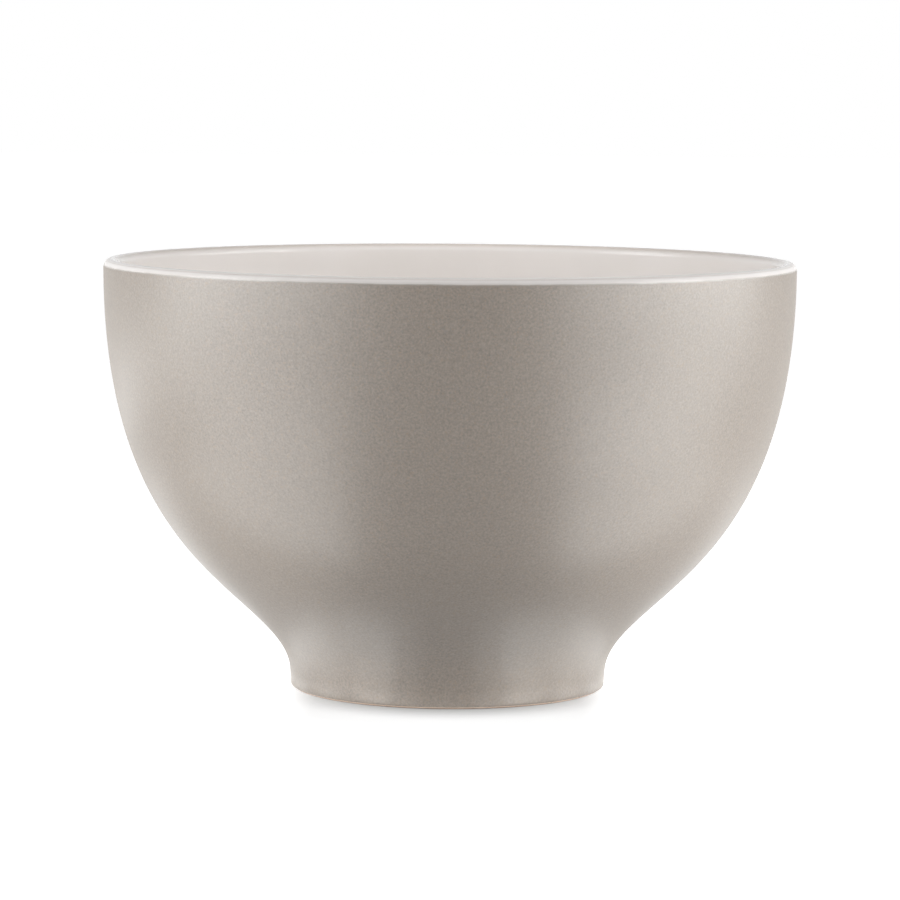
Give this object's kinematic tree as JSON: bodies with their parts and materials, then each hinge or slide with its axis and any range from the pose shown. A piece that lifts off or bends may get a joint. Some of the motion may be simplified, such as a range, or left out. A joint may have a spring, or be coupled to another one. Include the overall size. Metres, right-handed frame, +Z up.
{
  "type": "latte bowl",
  "caption": "Deep round stoneware bowl on a flared foot ring, for milky coffee, with a matt metallic outside and a glossy pale inside.",
  "frame": {"origin": "centre of the foot ring's underside, on the surface that the bowl stands on", "axes": "+Z up along the bowl's axis; the bowl is turned, so X and Y are alike, and the picture looks along +Y"},
  "size_m": [0.132, 0.132, 0.082],
  "materials": {
    "bare_clay": "fired stoneware, unglazed and wiped",
    "taupe_glaze": "matt glaze with a fine metallic speckle",
    "liner_glaze": "glossy, pale greige",
    "foot_glaze": "glossy, pale greige"
  },
  "bodies": {
    "root": {"clay_body": "bare_clay", "outside_glaze": "taupe_glaze", "inside_glaze": "liner_glaze", "base_glaze": "foot_glaze"}
  },
  "joints": []
}
